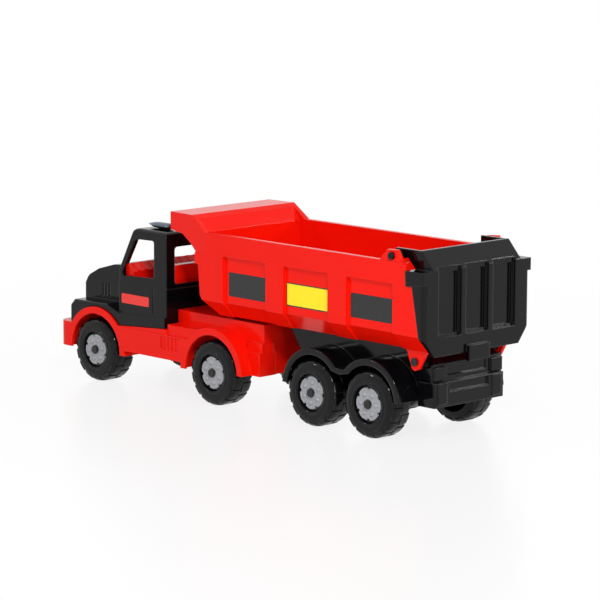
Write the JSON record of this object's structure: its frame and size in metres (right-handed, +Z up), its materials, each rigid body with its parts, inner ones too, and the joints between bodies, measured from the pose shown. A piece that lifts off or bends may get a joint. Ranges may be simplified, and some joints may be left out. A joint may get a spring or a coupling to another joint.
{
  "type": "toy semi-trailer dump truck",
  "caption": "Moulded plastic toy: bonneted tractor, articulated trailer with tipping ribbed tub, top-hung tailgate and free-rolling wheels.",
  "frame": {"origin": "on the floor under the middle of the truck's box, on its centre plane", "axes": "+X forwards, +Y to the truck's left, +Z up"},
  "size_m": [0.6014, 0.168, 0.2135],
  "materials": {
    "red_plastic": "glossy moulded polypropylene",
    "black_plastic": "satin-gloss moulded polypropylene",
    "tyre_plastic": "glossy moulded plastic tyre",
    "grey_plastic": "silver-grey moulded disc",
    "axle_plastic": "black snap axle",
    "dark_chrome": "dark metallised plastic"
  },
  "bodies": {
    "tractor": {"tractor_chassis": "red_plastic", "cab_shell": "black_plastic", "cab_interior": "red_plastic", "roof_lamps": "dark_chrome", "steer_axle": "axle_plastic", "drive_axle": "axle_plastic"},
    "trailer": {"trailer_frame": "black_plastic", "kingpin": "axle_plastic", "trailer_front_axle": "axle_plastic", "trailer_rear_axle": "axle_plastic", "tipping_rod": "axle_plastic"},
    "dump_body": {"dump_body": "red_plastic"},
    "tailgate": {"tailgate": "black_plastic"},
    "steer_left_wheel": {"steer_left_tyre": "tyre_plastic", "steer_left_disc": "grey_plastic"},
    "steer_right_wheel": {"steer_right_tyre": "tyre_plastic", "steer_right_disc": "grey_plastic"},
    "drive_left_wheel": {"drive_left_tyre": "tyre_plastic", "drive_left_disc": "grey_plastic"},
    "drive_right_wheel": {"drive_right_tyre": "tyre_plastic", "drive_right_disc": "grey_plastic"},
    "trailer_front_left_wheel": {"trailer_front_left_tyre": "tyre_plastic", "trailer_front_left_disc": "grey_plastic"},
    "trailer_front_right_wheel": {"trailer_front_right_tyre": "tyre_plastic", "trailer_front_right_disc": "grey_plastic"},
    "trailer_rear_left_wheel": {"trailer_rear_left_tyre": "tyre_plastic", "trailer_rear_left_disc": "grey_plastic"},
    "trailer_rear_right_wheel": {"trailer_rear_right_tyre": "tyre_plastic", "trailer_rear_right_disc": "grey_plastic"}
  },
  "joints": [
    {"name": "articulation", "type": "hinge", "parent": "tractor", "child": "trailer", "pos_m": [0.03275, 0, 0.098], "axis": [0, 0, 1], "range_deg": [-30, 30]},
    {"name": "body_tip", "type": "hinge", "parent": "trailer", "child": "dump_body", "pos_m": [-0.26825, 0, 0.0897], "axis": [0, -1, 0], "range_deg": [0, 45]},
    {"name": "tailgate_swing", "type": "hinge", "parent": "dump_body", "child": "tailgate", "pos_m": [-0.24725, 0, 0.202], "axis": [0, 1, 0], "range_deg": [0, 75]},
    {"name": "steer_left_wheel_roll", "type": "hinge", "parent": "tractor", "child": "steer_left_wheel", "pos_m": [0.23475, 0.0665, 0.038], "axis": [0, 1, 0], "continuous": true},
    {"name": "steer_right_wheel_roll", "type": "hinge", "parent": "tractor", "child": "steer_right_wheel", "pos_m": [0.23475, -0.0665, 0.038], "axis": [0, 1, 0], "continuous": true},
    {"name": "drive_left_wheel_roll", "type": "hinge", "parent": "tractor", "child": "drive_left_wheel", "pos_m": [0.03275, 0.0665, 0.038], "axis": [0, 1, 0], "continuous": true},
    {"name": "drive_right_wheel_roll", "type": "hinge", "parent": "tractor", "child": "drive_right_wheel", "pos_m": [0.03275, -0.0665, 0.038], "axis": [0, 1, 0], "continuous": true},
    {"name": "trailer_front_left_wheel_roll", "type": "hinge", "parent": "trailer", "child": "trailer_front_left_wheel", "pos_m": [-0.12625, 0.0665, 0.038], "axis": [0, 1, 0], "continuous": true},
    {"name": "trailer_front_right_wheel_roll", "type": "hinge", "parent": "trailer", "child": "trailer_front_right_wheel", "pos_m": [-0.12625, -0.0665, 0.038], "axis": [0, 1, 0], "continuous": true},
    {"name": "trailer_rear_left_wheel_roll", "type": "hinge", "parent": "trailer", "child": "trailer_rear_left_wheel", "pos_m": [-0.21325, 0.0665, 0.038], "axis": [0, 1, 0], "continuous": true},
    {"name": "trailer_rear_right_wheel_roll", "type": "hinge", "parent": "trailer", "child": "trailer_rear_right_wheel", "pos_m": [-0.21325, -0.0665, 0.038], "axis": [0, 1, 0], "continuous": true}
  ]
}
